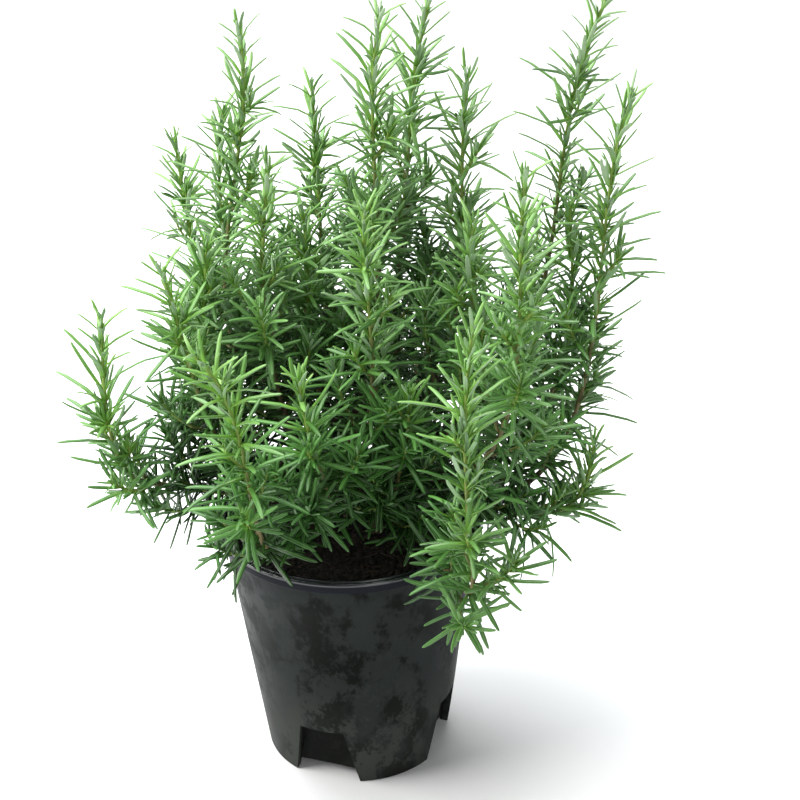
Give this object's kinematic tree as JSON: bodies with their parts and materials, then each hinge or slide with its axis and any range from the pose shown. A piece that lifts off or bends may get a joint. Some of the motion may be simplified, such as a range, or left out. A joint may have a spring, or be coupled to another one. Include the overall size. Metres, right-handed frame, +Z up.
{
  "type": "potted rosemary plant",
  "caption": "Rosemary plant with upright leafy shoots growing from woody trunks, in a tapered black plastic nursery pot with a rolled rim.",
  "frame": {"origin": "centre of the flat pad under the pot, in the plane that the pot stands on", "axes": "+Z up along the pot's axis; -Y towards the front, where the soil shows"},
  "size_m": [0.3233, 0.3235, 0.4442],
  "materials": {
    "pot_plastic": "matte black with grey-green dust",
    "potting_soil": "dark damp compost with bark and fibre",
    "bark": "grey-brown flaking bark",
    "stem": "yellow-green young shoot, pinkish brown lower down",
    "leaf": "leathery green with a pale felted underside"
  },
  "bodies": {
    "root": {"pot": "pot_plastic", "soil": "potting_soil", "trunk_left": "bark", "trunk_right": "bark", "trunk_back": "bark", "stem_left_tall": "stem", "leaves_left_tall": "leaf", "stem_left_twin": "stem", "leaves_left_twin": "leaf", "stem_left_back": "stem", "leaves_left_back": "leaf", "stem_left_middle": "stem", "leaves_left_middle": "leaf", "stem_left_inner": "stem", "leaves_left_inner": "leaf", "stem_left_upper": "stem", "leaves_left_upper": "leaf", "stem_left_lower": "stem", "leaves_left_lower": "leaf", "stem_left_far": "stem", "leaves_left_far": "leaf", "stem_front_left": "stem", "leaves_front_left": "leaf", "stem_front_middle": "stem", "leaves_front_middle": "leaf", "stem_front_centre": "stem", "leaves_front_centre": "leaf", "stem_front_short": "stem", "leaves_front_short": "leaf", "stem_front_right": "stem", "leaves_front_right": "leaf", "stem_front_arching": "stem", "leaves_front_arching": "leaf", "stem_right_centre": "stem", "leaves_right_centre": "leaf", "stem_right_middle": "stem", "leaves_right_middle": "leaf", "stem_right_tall": "stem", "leaves_right_tall": "leaf", "stem_right_edge": "stem", "leaves_right_edge": "leaf", "stem_right_low": "stem", "leaves_right_low": "leaf", "stem_right_short": "stem", "leaves_right_short": "leaf", "stem_right_back": "stem", "leaves_right_back": "leaf", "stem_middle_tall": "stem", "leaves_middle_tall": "leaf", "stem_top": "stem", "leaves_top": "leaf", "stem_back_middle": "stem", "leaves_back_middle": "leaf", "stem_back_low": "stem", "leaves_back_low": "leaf", "stem_back_left": "stem", "leaves_back_left": "leaf", "stem_back_right": "stem", "leaves_back_right": "leaf"}
  },
  "joints": []
}
